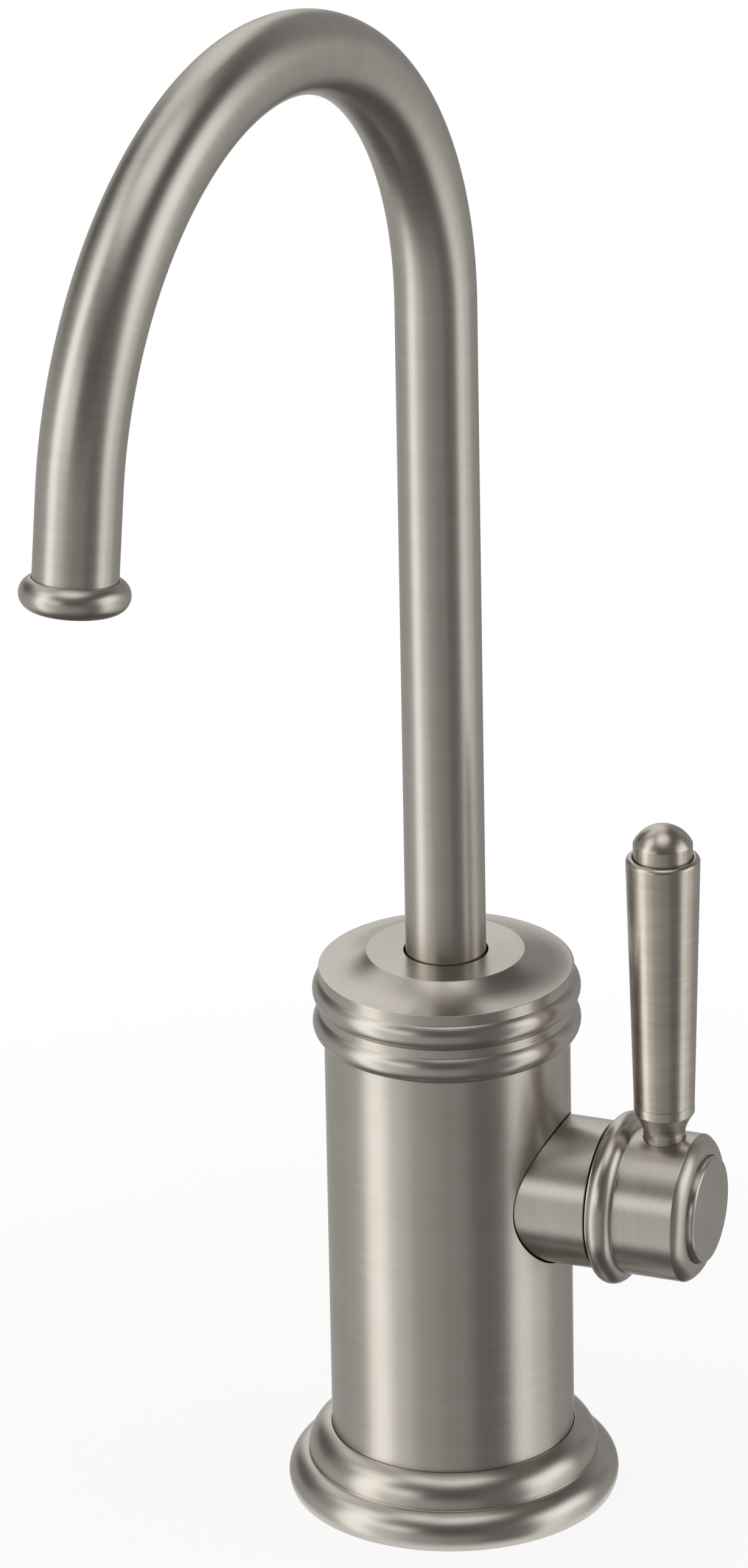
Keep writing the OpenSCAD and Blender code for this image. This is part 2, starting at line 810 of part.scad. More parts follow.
// One stretch of the bent tube, from one angle round the bend's centre to another
module bent_tube(from, to) {
    on_bend()
        rotate_extrude(angle = to - from, start = from)
            translate([neck_bend_r, 0])
                difference() {
                    circle(r = spout_r);
                    circle(r = spout_bore_r);
                }
}

// The drawn tube, in one run: straight riser, two halves of the bend and straight end
module spout_tube() {
    color([0.62, 0.6, 0.57]) {
        on_spout()
            ring(spout_r, spout_bore_r, riser_top - tube_foot, tube_foot);
        bent_tube(180, 90);
        bent_tube(bend_end, 90);
        at_outlet()
            ring(spout_r, spout_bore_r, outlet_straight, -outlet_straight);
    }
}

// The turned foot brazed in the spout tube: grooved journal, trapped collar and spigot
module spout_stem() {
    groove_r = ring_centre_r - ring_r - fit_gap / 2;
    color([0.78, 0.62, 0.32])
        difference() {
            union() {
                translate([0, 0, journal_foot])
                    cylinder(r = spout_journal_r, h = tube_foot - journal_foot);
                translate([0, 0, stem_collar_z])
                    cylinder(r = bearing_r - 6 * fit_gap, h = stem_collar_t);
                translate([0, 0, stem_collar_z])
                    cylinder(r = spout_spigot_r, h = stem_collar_t + spout_spigot_len);
            }
            for (i = [1, 2])
                ring(
                    spout_journal_r + over, groove_r, ring_groove_w,
                    journal_foot + i * ring_pitch - ring_groove_w / 2
                );
            translate([0, 0, journal_foot - over])
                cylinder(
                    r = spout_stem_bore_r,
                    h = tube_foot - journal_foot + spout_spigot_len + 2 * over
                );
        }
}

// The two sealing rings on the spout stem's journal
module stem_rings() {
    color([0.1, 0.1, 0.1])
        for (i = [1, 2])
            translate([0, 0, journal_foot + i * ring_pitch])
                rotate_extrude()
                    translate([ring_centre_r, 0])
                        circle(r = ring_r, $fn = 48);
}

// The beaded collar on the tube's end, with a lip inside
module outlet_collar() {
    color([0.63, 0.61, 0.58])
        at_outlet()
            rotate_extrude()
                difference() {
                    intersection() {
                        union() {
                            translate([collar_bead_c, collar_mid])
                                circle(r = collar_bead_r);
                            translate([0, lip_z])
                                square([collar_bead_c, collar_h]);
                        }
                        translate([0, lip_z])
                            square([collar_r, collar_h]);
                    }
                    translate([-over, -outlet_straight])
                        square([spout_r + fit_gap + over, collar_h]);
                    translate([-over, lip_z - over])
                        square([collar_lip_r + over, collar_h]);
                }
}

// The aerator's plastic sleeve, standing on the collar's lip
module aerator_housing() {
    color([0.86, 0.86, 0.84])
        at_outlet()
            translate([0, 0, -outlet_straight])
                difference() {
                    cylinder(r = aerator_r, h = aerator_h);
                    translate([0, 0, -over])
                        cylinder(r = ledge_r, h = aerator_h);
                    translate([0, 0, ledge_z])
                        cylinder(r = aerator_bore_r, h = aerator_h);
                }
}

// The perforated disc that straightens the stream
module flow_disc() {
    color([0.3, 0.45, 0.6])
        at_outlet()
            translate([0, 0, flow_z])
                difference() {
                    cylinder(r = flow_disc_r, h = flow_disc_t);
                    translate([0, 0, -over])
                        cylinder(r = flow_hole_r, h = flow_disc_t + 2 * over);
                    for (k = [0, 1])
                        for (i = [1 : flow_ring_counts[k]])
                            rotate([0, 0, i * 360 / flow_ring_counts[k]])
                                translate([flow_ring_shares[k] * flow_disc_r, 0, -over])
                                    cylinder(r = flow_hole_r, h = flow_disc_t + 2 * over);
                }
}

module aerator_screen() {
    color([0.75, 0.75, 0.75])
        at_outlet()
            ring(flow_disc_r, flow_hole_r, screen_t, screen_z);
}

module aerator_washer() {
    color([0.1, 0.1, 0.1])
        at_outlet()
            ring(aerator_r, ledge_r, aerator_washer_t, aerator_h - outlet_straight);
}

// The turned hub: bead, plain round, rounded shoulder, a keyed socket and a pocket for the end cap
module handle_hub() {
    shoulder_x = hub_len - hub_shoulder_r;
    crease_x = shoulder_x + sqrt(pow(hub_shoulder_r, 2) - pow(hub_shoulder_in, 2));
    color([0.62, 0.6, 0.57])
        difference() {
            on_handle(hub_x)
                rotate_extrude()
                    difference() {
                        union() {
                            translate([hub_bead_c, hub_bead_x])
                                circle(r = hub_bead_r);
                            square([hub_r, crease_x]);
                            square([hub_r - hub_shoulder_in, hub_len]);
                            intersection() {
                                translate([hub_r - hub_shoulder_in, shoulder_x])
                                    circle(r = hub_shoulder_r);
                                square([hub_r, hub_len]);
                            }
                        }
                        translate([-over, -over])
                            square([boss_bore_r + over, hub_web - hub_x + over]);
                        translate([-over, end_cap_x - hub_x])
                            square([end_cap_r + fit_gap + over, hub_len]);
                    }
            on_handle(hub_x) {
                cylinder(r = socket_r, h = socket_end - hub_x);
                cylinder(r = screw_r + fit_gap, h = hub_len);
            }
            on_handle(screw_seat)
                cylinder(r = screw_head_r + fit_gap, h = hub_len);
            translate([lever_x, 0, port_z + rod_foot - fit_gap])
                cylinder(r = rod_hole_r, h = hub_r);
            translate([lever_x, 0, port_z + ferrule_foot])
                cylinder(r = lever_neck_r + fit_gap, h = hub_r);
        }
}

// The plain disc pressed in the hub's outer face, over the screw
module end_cap() {
    t = end_cap_depth + end_cap_proud;
    color([0.6, 0.58, 0.55])
        on_handle(end_cap_x)
            rotate_extrude()
                polygon([
                    [0, 0],
                    [end_cap_r, 0],
                    [end_cap_r, t - end_cap_bevel],
                    [end_cap_r - end_cap_bevel, t],
                    [0, t]
                ]);
}

// The socket-head screw that holds the hub on the stem
module hub_screw() {
    color([0.55, 0.55, 0.56])
        on_handle()
            difference() {
                union() {
                    translate([0, 0, screw_seat])
                        cylinder(r = screw_head_r, h = screw_head_t);
                    translate([0, 0, screw_tip])
                        cylinder(r = screw_r, h = screw_seat - screw_tip + tiny);
                }
                translate([0, 0, screw_seat + screw_head_t / 3])
                    cylinder(r = screw_r, h = screw_head_t, $fn = 6);
            }
}

// The steel rod that ties ferrule, sleeve and finial to the hub
module lever_rod() {
    color([0.7, 0.7, 0.7])
        translate([lever_x, 0, port_z + rod_foot])
            cylinder(r = lever_rod_r, h = rod_top - rod_foot);
}

// The lever's foot: a neck in the hub, a hollow flare and a straight band under the seam
module lever_ferrule() {
    run = sleeve_low_r - lever_neck_r;
    color([0.58, 0.55, 0.5])
        translate([lever_x, 0, port_z])
            rotate_extrude()
                difference() {
                    union() {
                        translate([0, ferrule_foot])
                            square([lever_neck_r, flare_z - ferrule_foot + tiny]);
                        polygon([
                            [0, flare_z],
                            for (k = [0 : 12])
                                [
                                    lever_neck_r + run * pow(k / 12, 1.5),
                                    flare_z + lever_flare_h * k / 12
                                ],
                            [0, band_z]
                        ]);
                        translate([0, band_z - tiny])
                            square([sleeve_low_r, lever_band_h + tiny]);
                    }
                    translate([-over, ferrule_foot - over])
                        square([rod_hole_r + over, seam_z]);
                }
}

// The tapered grip, with a rounded rim and a pocket for the finial
module lever_sleeve() {
    color([0.6, 0.57, 0.53])
        translate([lever_x, 0, port_z])
            rotate_extrude()
                difference() {
                    union() {
                        polygon([
                            [0, seam_z],
                            [sleeve_low_r, seam_z],
                            [sleeve_top_r, rim_z - sleeve_rim_r],
                            [sleeve_top_r - sleeve_rim_r, rim_z],
                            [0, rim_z]
                        ]);
                        translate([sleeve_top_r - sleeve_rim_r, rim_z - sleeve_rim_r])
                            circle(r = sleeve_rim_r, $fn = 48);
                    }
                    translate([-over, seam_z - over])
                        square([rod_hole_r + over, lever_top]);
                    translate([-over, pocket_z])
                        square([pocket_r + over, finial_h]);
                }
}

// The button on top: a short round wall under a dome
module lever_finial() {
    h = lever_top - pocket_z;
    color([0.6, 0.57, 0.53])
        translate([lever_x, 0, port_z + pocket_z])
            rotate_extrude()
                difference() {
                    intersection() {
                        translate([0, h - finial_crown_r])
                            union() {
                                circle(r = finial_crown_r, $fn = 2 * $fn);
                                translate([0, -h])
                                    square([finial_crown_r, h]);
                            }
                        square([finial_r, h]);
                    }
                    translate([-over, -over])
                        square([rod_hole_r + over, rod_top - pocket_z + fit_gap + over]);
                }
}

base_flange();
deck_gasket();
column();
top_cap();
valve_body();
side_boss();
threaded_shank();
hot_inlet_tube();
cold_inlet_tube();
seat_seal();
fixed_disc();
cartridge_housing();
bonnet_nut();
lower_bearing();
upper_bearing();
spout_nut();
rubber_washer();
metal_washer();
mounting_nut();
spout_tube();
spout_stem();
stem_rings();
outlet_collar();
aerator_housing();
flow_disc();
aerator_screen();
aerator_washer();
handle_hub();
end_cap();
hub_screw();
cartridge_stem();
cartridge_ring();
moving_disc();
lever_rod();
lever_ferrule();
lever_sleeve();
lever_finial();
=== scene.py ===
"""The looks of a hot and cold water dispenser faucet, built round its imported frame.

The file follows the faucet as it is put together, from the flange on the deck to the nut under
it. A turned profile is drawn in millimetres of radius and height, as on a turner's drawing.
Everything else is in metres, in the frame's own axes.
"""

from math import atan2, cos, degrees, pi, radians, sin

import bmesh
import bpy
from mathutils import Matrix, Quaternion, Vector


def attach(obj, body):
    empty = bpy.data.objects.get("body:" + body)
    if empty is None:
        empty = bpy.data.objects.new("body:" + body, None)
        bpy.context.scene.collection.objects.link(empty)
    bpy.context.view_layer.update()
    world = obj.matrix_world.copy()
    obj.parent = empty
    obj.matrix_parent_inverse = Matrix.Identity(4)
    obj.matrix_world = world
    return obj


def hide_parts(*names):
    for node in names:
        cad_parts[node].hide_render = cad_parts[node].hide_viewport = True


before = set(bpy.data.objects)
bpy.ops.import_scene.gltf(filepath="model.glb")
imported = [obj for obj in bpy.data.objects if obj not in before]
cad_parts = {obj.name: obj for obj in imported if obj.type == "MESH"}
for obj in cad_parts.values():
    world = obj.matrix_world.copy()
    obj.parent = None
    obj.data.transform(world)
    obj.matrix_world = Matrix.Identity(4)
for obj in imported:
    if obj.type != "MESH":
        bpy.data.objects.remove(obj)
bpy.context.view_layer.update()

# The camera stands on the right of square, well above the deck and two metres off, with a long
# lens, so that column, spout and handle stand as they do in the photograph. It leans a little,
# as the picture does.
camera_place = Vector((0.6100, -1.5875, 0.8843))
camera_aim = Vector((-0.0176, 0.0075, 0.1474))
camera_lean = radians(-1.08)
lens = bpy.data.cameras.new("camera")
lens.sensor_fit = "VERTICAL"
lens.sensor_height = 36
lens.lens = 216.16
camera = bpy.data.objects.new("camera", lens)
camera.location = camera_place
camera.rotation_mode = "QUATERNION"
camera.rotation_quaternion = (camera_aim - camera_place).to_track_quat("-Z", "Y") @ Quaternion(
    (0, 0, 1), camera_lean
)
bpy.context.scene.collection.objects.link(camera)
bpy.context.scene.camera = camera
bpy.context.scene.view_settings.view_transform = "Standard"


# The studio is white to the camera. The faucet itself stands in a dim room, with one light
# overhead and tall soft lights round it: the strongest at the front left and the far right, and
# fainter ones behind. The streaks on the round parts show where they stand.
class Wire:
    """One socket of a shader. Sums on it add the Math nodes that work them out."""

    def __init__(self, tree, socket):
        self.tree, self.socket = tree, socket

    def work_out(self, operation, *values):
        """Adds one Math node that works out an operation on values and wires."""
        node = self.tree.nodes.new("ShaderNodeMath")
        node.operation = operation
        for slot, value in zip(node.inputs, values):
            plug(self.tree, slot, value)
        return Wire(self.tree, node.outputs[0])

    def math(self, operation, *others):
        """An operation on this wire, with the others after it."""
        return self.work_out(operation, self, *others)

    def __add__(self, other):
        return self.work_out("ADD", self, other)

    def __radd__(self, other):
        return self.work_out("ADD", other, self)

    def __sub__(self, other):
        return self.work_out("SUBTRACT", self, other)

    def __rsub__(self, other):
        return self.work_out("SUBTRACT", other, self)

    def __mul__(self, other):
        return self.work_out("MULTIPLY", self, other)

    def __rmul__(self, other):
        return self.work_out("MULTIPLY", other, self)

    def __truediv__(self, other):
        return self.work_out("DIVIDE", self, other)

    def __rtruediv__(self, other):
        return self.work_out("DIVIDE", other, self)


def plug(tree, slot, value):
    """Links a wire to a socket, or sets the socket to a plain value."""
    if isinstance(value, Wire):
        tree.links.new(value.socket, slot)
    elif isinstance(value, tuple) and len(value) == 3 and slot.type == "RGBA":
        slot.default_value = (*value, 1)
    else:
        slot.default_value = value


class Shading:
    """The node tree of a material or of the world."""

    def __init__(self, owner):
        owner.use_nodes = True
        self.owner, self.tree = owner, owner.node_tree
        self.tree.nodes.clear()

    def node(self, kind, sockets, settings=(), out=0):
        """Makes one node of a type, with its settings first and then its sockets."""
        node = self.tree.nodes.new("ShaderNode" + kind)
        for name, value in dict(settings).items():
            setattr(node, name, value)
        for name, value in sockets.items():
            plug(self.tree, node.inputs[name], value)
        return Wire(self.tree, node.outputs[out])

    def step(self, wire, low, high, start=0.0, end=1.0):
        """Carries a value smoothly from start to end while it goes from low to high."""
        return self.node(
            "MapRange",
            {"Value": wire, "From Min": low, "From Max": high, "To Min": start, "To Max": end},
            {"interpolation_type": "SMOOTHSTEP", "clamp": True},
        )

    def blend(self, share, first, second):
        """Mixes two colours, the second by a share from 0 to 1."""
        return self.node(
            "Mix", {"Factor": share, "A": first, "B": second}, {"data_type": "RGBA"}, out="Result"
        )

    def end(self, kind, surface):
        """Joins the surface to the tree's output."""
        out = self.tree.nodes.new("ShaderNodeOutput" + kind)
        plug(self.tree, out.inputs["Surface"], surface)
        return self.owner


world = bpy.data.worlds.new("studio")
bpy.context.scene.world = world
air = Shading(world)
way = air.node("TexCoord", {}, out="Generated")
way_x = air.node("SeparateXYZ", {"Vector": way}, out="X")
way_y = air.node("SeparateXYZ", {"Vector": way}, out="Y")
lift = air.node("SeparateXYZ", {"Vector": way}, out="Z").math("ARCSINE") * degrees(1)
front = way_x.math("ARCTAN2", way_y * -1) * degrees(1)
back = (way_x * -1).math("ARCTAN2", way_y) * degrees(1)


def soft_light(turn, left, right, low, high, glow, soft=6, rise=7):
    """A light between two turns and two lifts, in degrees. Its edges fade over soft and rise."""
    from_left = air.step(turn, left - soft, left + soft)
    to_right = air.step(turn, right - soft, right + soft, 1, 0)
    from_low = air.step(lift, low - rise, low + rise)
    to_high = air.step(lift, high - rise, high + rise, 1, 0)
    return from_left * to_right * (from_low * to_high) * glow


room_glow, overhead_glow = 0.09, 1.25
overhead_middle, overhead_rim, overhead_full = (0.0, -0.1, 0.995), 0.88, 0.985
overhead = air.node(
    "VectorMath", {0: way, 1: overhead_middle}, {"operation": "DOT_PRODUCT"}, out="Value"
)
light = room_glow + air.step(overhead, overhead_rim, overhead_full) * overhead_glow

# Each row gives the side that the turn is measured from, its left and right edge, its lower and
# upper edge, and how strongly it glows.
for turn, left, right, low, high, glow in (
    (front, -95, -64, -48, 5, 0.38),
    (front, -95, -64, 5, 36, 0.2),
    (front, -90, -64, 36, 60, 1.2),
    (front, -64, -40, -48, 5, 1.42),
    (front, -64, -40, 5, 36, 1.6),
    (front, -64, -40, 36, 60, 1.4),
    (front, -40, -17, -48, 5, 0.62),
    (front, -40, -8, 8, 29, 1.25),
    (front, -17, 10, -48, 5, 0.34),
    (front, 10, 40, -48, 5, 0.24),
    (front, 40, 80, -48, 36, 0.08),
    (front, 80, 103, -48, 5, 1.0),
    (front, 103, 126, -48, 5, 0.6),
    (front, 80, 126, 5, 36, 1.4),
    (front, 126, 160, -48, 5, 0.28),
    (front, 126, 165, 5, 36, 0.15),
    (back, -20, 10, -48, 36, 0.22),
    (back, 10, 45, -48, 5, 0.4),
    (back, 15, 45, 5, 36, 0.85),
    (back, 8, 45, 36, 62, 0.95),
    (back, 45, 85, -48, 5, 0.34),
    (back, 45, 80, 36, 62, 0.8),
):
    light = light + soft_light(turn, left, right, low, high, glow)

# A colour's share stops at 1, so the light is mixed as a share of the strongest it can be. The
# small white patch behind is the white surround, as the metal would mirror it there.
strongest, lamp_colour = 4.0, (1.0, 0.985, 0.965)
shade = air.blend(light * (1 / strongest), (0.0, 0.0, 0.0), lamp_colour)
room = air.node("Background", {"Color": shade, "Strength": strongest})
white = air.node("Background", {"Color": (1.0, 1.0, 1.0), "Strength": 1.0})
to_camera = air.node("LightPath", {}, out="Is Camera Ray")
mirrored = air.node("LightPath", {}, out="Is Glossy Ray")
through = air.node("LightPath", {}, out="Is Transmission Ray")
white_patch = soft_light(back, 9, 33, -38, -12, 1.0, 4, 4)
surround = to_camera.math("MAXIMUM", (mirrored + through) * white_patch)
air.end("World", air.node("MixShader", {"Fac": surround, 1: room, 2: white}))

# The floor is a pale round table top at the deck plane. Near the faucet it keeps the shadow, and
# further out it goes over into the white surround. The metal mirrors only the small round of it
# next to the flange. It lies a hair low, so that its face and the flange's don't meet.
table_radius, table_drop = 1.5, 0.00005
table = bmesh.new()
bmesh.ops.create_circle(
    table,
    cap_ends=True,
    segments=96,
    radius=table_radius,
    matrix=Matrix.Translation((0, 0, -table_drop)),
)
table_mesh = bpy.data.meshes.new("table_top")
table.to_mesh(table_mesh)
table.free()
table_top = bpy.data.objects.new("table_top", table_mesh)
bpy.context.scene.collection.objects.link(table_top)
board = Shading(bpy.data.materials.new("table_top"))
on_board = board.node("TexCoord", {}, out="Object")
far = board.node("VectorMath", {0: on_board}, {"operation": "LENGTH"}, out="Value")
grain = board.node("TexNoise", {"Vector": on_board, "Scale": 9.0, "Detail": 3.0})
paint = board.blend(board.step(grain, 0.3, 0.7), (0.84, 0.84, 0.84), (0.87, 0.87, 0.865))
to_camera = board.node("LightPath", {}, out="Is Camera Ray")
mirrored = board.node("LightPath", {}, out="Is Glossy Ray")
through = board.node("LightPath", {}, out="Is Transmission Ray")
surround = to_camera.math("MAXIMUM", mirrored + through)
# To the camera the floor's diffuse skin is its pale paint. To every other ray it is a darker grey,
# painted shade that dims the light it throws back on the faucet and what the metal mirrors of it.
pale_with_painted_shade = board.node("BsdfDiffuse", {"Color": board.blend(to_camera, (0.4, 0.4, 0.39), paint)})
glow = board.node("Emission", {"Color": (1.0, 1.0, 1.0), "Strength": 1.0})
white_share = board.step(far, 0.03, 0.3, 0.9, 1.0)
lit = board.node("MixShader", {"Fac": surround * white_share, 1: pale_with_painted_shade, 2: glow})
clear = board.node("BsdfTransparent", {})
gone_for_camera = board.step(far, 0.9, 1.4)
gone_for_metal = board.step(far, 0.0335, 0.037)
gone = gone_for_camera * to_camera + gone_for_metal * (1 - to_camera)
board.end("Material", board.node("MixShader", {"Fac": gone, 1: lit, 2: clear}))
table_mesh.materials.append(board.owner)

# The base flange is turned from brass bar and plated with brushed nickel: a broad lower bead on
# the deck, a second bead above it, and a bore that takes the column. Its flat underside holds
# the gasket.
NICKEL = ((0.56, 0.527, 0.477), (0.61, 0.58, 0.532))


def turned_metal(name, tones, centre=(0, 0, 0), turned_on="Z", along=None, rough=0.3, brushed=0.5):
    """Metal with fine lathe lines round an axis through centre, or across a length."""
    line_cells = 900  # to the metre, across the lines
    plate = Shading(bpy.data.materials.new(name))
    spot = plate.node(
        "Mapping",
        {
            "Vector": plate.node("TexCoord", {}, out="Object"),
            "Location": tuple(-c for c in centre),
        },
    )
    x = plate.node("SeparateXYZ", {"Vector": spot}, out="X")
    y = plate.node("SeparateXYZ", {"Vector": spot}, out="Y")
    z = plate.node("SeparateXYZ", {"Vector": spot}, out="Z")
    if along:
        run = plate.node("Attribute", {}, {"attribute_name": along}, out="Fac")
        across = plate.node("CombineXYZ", {"X": x * 14, "Y": y * 14, "Z": run * line_cells})
        lines = plate.node("TexNoise", {"Vector": across, "Scale": 1.0, "Detail": 4.0})
        wide = plate.node("CombineXYZ", {"X": x * 20, "Y": y * 20, "Z": run * 160})
    else:
        first, second, height = (x, y, z) if turned_on == "Z" else (y, z, x)
        flat = plate.node("CombineXYZ", {"X": first, "Y": second})
        radius = plate.node("VectorMath", {0: flat}, {"operation": "LENGTH"}, out="Value")
        rim = radius + 0.0004
        across = plate.node(
            "CombineXYZ", {"X": first / rim, "Y": second / rim, "Z": height * line_cells}
        )
        lines = plate.node(
            "TexNoise",
            {"Vector": across, "W": radius * line_cells, "Scale": 1.0, "Detail": 4.0},
            {"noise_dimensions": "4D"},
        )
        wide = plate.node("CombineXYZ", {"X": first * 60, "Y": second * 60, "Z": height * 120})
    cloud = plate.node("TexNoise", {"Vector": wide, "Scale": 1.0, "Detail": 2.0})
    fine = plate.step(lines, 0.3, 0.7)
    tone = fine * 0.55 + plate.step(cloud, 0.3, 0.7) * 0.45
    bump = plate.node("Bump", {"Height": lines, "Strength": 0.25, "Distance": 0.00003})
    metal = plate.node(
        "BsdfPrincipled",
        {
            "Base Color": plate.blend(tone, *tones),
            "Metallic": 1.0,
            "Roughness": rough - 0.02 + fine * 0.02 + cloud * 0.02,
            "Anisotropic": brushed,
            "Anisotropic Rotation": 0.0 if turned_on == "X" and not along else 0.25,
            "Normal": bump,
        },
    )
    return plate.end("Material", metal)


class Turning:
    """A turner's profile, drawn in millimetres of radius and height, then spun on the lathe."""

    def __init__(self, radius, height):
        self.mesh = bmesh.new()
        self.first = self.tip = self.mesh.verts.new((radius / 1000, 0, height / 1000))

    def to(self, radius, height):
        """A straight line."""
        point = self.mesh.verts.new((radius / 1000, 0, height / 1000))
        self.mesh.edges.new((self.tip, point))
        self.tip = point
        return self

    def round(self, radius, height, turn, steps=20):
        """An arc of turn degrees round a centre, anticlockwise from radius towards height."""
        arc = bmesh.ops.spin(
            self.mesh,
            geom=[self.tip],
            cent=(radius / 1000, 0, height / 1000),
            axis=(0, -1, 0),
            angle=radians(turn),
            steps=steps,
        )
        self.tip = next(g for g in arc["geom_last"] if isinstance(g, bmesh.types.BMVert))
        return self

    def spin(self, edge=0.12, steps=180):
        """Closes the profile, spins it round the height axis and eases its sharp edges."""
        lathe = self.mesh
        if self.tip is not self.first:
            lathe.edges.new((self.tip, self.first))
        bmesh.ops.spin(
            lathe,
            geom=lathe.verts[:] + lathe.edges[:],
            cent=(0, 0, 0),
            axis=(0, 0, 1),
            angle=2 * pi,
            steps=steps,
            use_merge=True,
        )
        bmesh.ops.remove_doubles(lathe, verts=lathe.verts[:], dist=1e-7)
        bmesh.ops.recalc_face_normals(lathe, faces=lathe.faces[:])
        corners = [e for e in lathe.edges if e.calc_face_angle(0) > radians(24)]
        bmesh.ops.bevel(
            lathe,
            geom=corners,
            offset=edge / 1000,
            segments=3,
            profile=0.5,
            affect="EDGES",
            clamp_overlap=True,
            material=-1,
        )
        return lathe


def finish_piece(name, mesh, material, body, nodes, place=None, drill=None, centre=None):
    """Makes a bmesh a named piece, in its place, with its material and on its body.

    A drill is a bmesh that is cut out of it. A centre shifts the piece's texture space, which
    the shader takes its direction of brushing from.
    """
    if place:
        bmesh.ops.transform(mesh, matrix=place, verts=mesh.verts[:])
    data = bpy.data.meshes.new(name)
    mesh.to_mesh(data)
    mesh.free()
    piece = bpy.data.objects.new(name, data)
    bpy.context.scene.collection.objects.link(piece)
    if drill:
        cut = bpy.data.meshes.new("cut")
        drill.to_mesh(cut)
        drill.free()
        tool = bpy.data.objects.new("cut", cut)
        bpy.context.scene.collection.objects.link(tool)
        hole = piece.modifiers.new("hole", "BOOLEAN")
        hole.operation, hole.solver, hole.object = "DIFFERENCE", "EXACT", tool
        graph = bpy.context.evaluated_depsgraph_get()
        data = bpy.data.meshes.new_from_object(piece.evaluated_get(graph))
        piece.modifiers.clear()
        piece.data = data
        data.name = name
        bpy.data.objects.remove(tool)
    data.shade_smooth()
    data.set_sharp_from_angle(angle=radians(40))
    even = piece.modifiers.new("even_normals", "WEIGHTED_NORMAL")
    even.keep_sharp = True
    data.materials.clear()
    data.materials.append(material)
    if centre:
        data.use_auto_texspace = False
        data.texspace_location = centre
        data.texspace_size = (1, 1, 1)
    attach(piece, body)
    if nodes:
        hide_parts(*nodes)
    return piece


base_nickel = turned_metal("base_nickel", NICKEL)
flange = Turning(24.6, 6).to(24.6, 13.495).round(23.5, 7.8, -85.6, 32)
flange.round(28.5, 2.3, -109.04, 36).to(26.8, 0).to(26.8, 1.5).to(22, 1.5).to(22, 0)
flange.to(12.3, 0).to(12.3, 6)
finish_piece("flange", flange.spin(), base_nickel, "base", ["base_flange"])


# The column is a length of drawn brass tube, plated as the flange is. It stands in the flange,
# and a round port in its side lets the handle's boss through to the valve.
def drum(radius, low, high, place, steps=180):
    """A plain drum from low to high in millimetres, to cut with."""
    mesh = bmesh.new()
    bmesh.ops.create_cone(
        mesh,
        cap_ends=True,
        segments=steps,
        radius1=radius / 1000,
        radius2=radius / 1000,
        depth=(high - low) / 1000,
        matrix=place @ Matrix.Translation((0, 0, (low + high) / 2000)),
    )
    return mesh


handle_height = 0.0686
on_handle = Matrix.Translation((0, 0, handle_height)) @ Matrix.Rotation(radians(90), 4, "Y")
tube = Turning(22.3, 6).to(24.5, 6).to(24.5, 99.4).to(22.3, 99.4).spin(steps=288)
port = drum(15.25, 14, 40, on_handle, 288)
finish_piece("column_tube", tube, base_nickel, "base", ["column"], drill=port)

# The cap is turned from brass bar too. Its flat disc falls in a shallow dish to a crisp crease,
# and two beads run round its side. Its spigot drops into the column, and the spout stands in its
# hole.
cap = Turning(8.4, 117.4).to(15.7, 117.4).round(26.277, 133.16, 31.22, 24).to(25.4, 112.015)
cap.round(23.5, 109.44, -107.16, 32).to(25.4, 105.015).round(23.5, 102.44, -125.38, 36)
cap.to(22.2, 99.4).to(22.2, 93.4).to(15.1, 93.4).to(15.1, 112.4).to(8.4, 112.4)
finish_piece("cap", cap.spin(), base_nickel, "base", ["top_cap"])

# The boss is a short nickel-plated brass sleeve, pressed through the column's port and seated on
# the valve body. It is brushed round the handle's axis, as all that turns on it is.
on_axis = (0, 0, handle_height)
cross_nickel = turned_metal("cross_nickel", NICKEL, on_axis, turned_on="X")
sideways = (0, 1000, 0)
boss = Turning(11.8, 14).to(14.9, 14).to(14.9, 33.7).to(11.8, 33.7).spin(0.18)
finish_piece(
    "boss", boss, cross_nickel, "base", ["side_boss"],
    place=on_handle, centre=sideways,
)

# The hub turns on the boss's end. It is turned from brass bar and plated, with a bead at its
# inner end and a rounded shoulder at its face, and it is drilled on top for the lever's neck.
lever_reach = 0.0457
on_lever = Matrix.Translation((lever_reach, 0, handle_height))
hub = Turning(4.3, 39.2).to(11.8, 39.2).to(11.8, 34).to(14.9, 34).to(14.9, 34.402)
hub.round(14.8, 37, 175.6, 40).to(14.9, 51.978).round(11.25, 49.9, 60.35, 20).to(10.9, 54.1)
hub.to(10.9, 51.6).to(4.3, 51.6).to(4.3, 48.35).to(2.2, 48.35).to(2.2, 46.95).to(4.3, 46.95)
neck_hole = drum(4.3, 11.8, 20, on_lever)
finish_piece(
    "hub", hub.spin(), cross_nickel, "handle", ["handle_hub"],
    place=on_handle, drill=neck_hole, centre=sideways,
)

# A plain plated disc, pressed in the hub's face, hides the screw. It stands a little proud, and
# its rim is chamfered.
disc = Turning(0, 51.6).to(10.8, 51.6).to(10.8, 55).to(10.4, 55.4).to(0, 55.4).spin(0.1)
finish_piece(
    "face_disc", disc, cross_nickel, "handle", ["end_cap"],
    place=on_handle, centre=sideways,
)

# The lever's foot is turned brass, plated a shade warmer. Its neck stands in the hub and flares
# in a smooth curve to a narrow straight band under the seam.
lever_tones = ((0.53, 0.48, 0.42), (0.64, 0.595, 0.535))
lever_nickel = turned_metal("lever_nickel", lever_tones, (lever_reach, 0, 0))
neck_radius, neck_top, flare, flare_rise, flare_steps = 4.2, 16.2, 1.85, 4.2, 20
foot = Turning(3.1, 22.3).to(3.1, 11.9).to(neck_radius, 11.9).to(neck_radius, neck_top)
for k in range(1, flare_steps + 1):
    share = k / flare_steps
    foot.to(neck_radius + flare * share**1.5, neck_top + flare_rise * share)
foot.to(6.05, 22.3)
finish_piece(
    "lever_foot", foot.spin(0.1), lever_nickel, "handle", ["lever_ferrule"],
    place=on_lever,
)

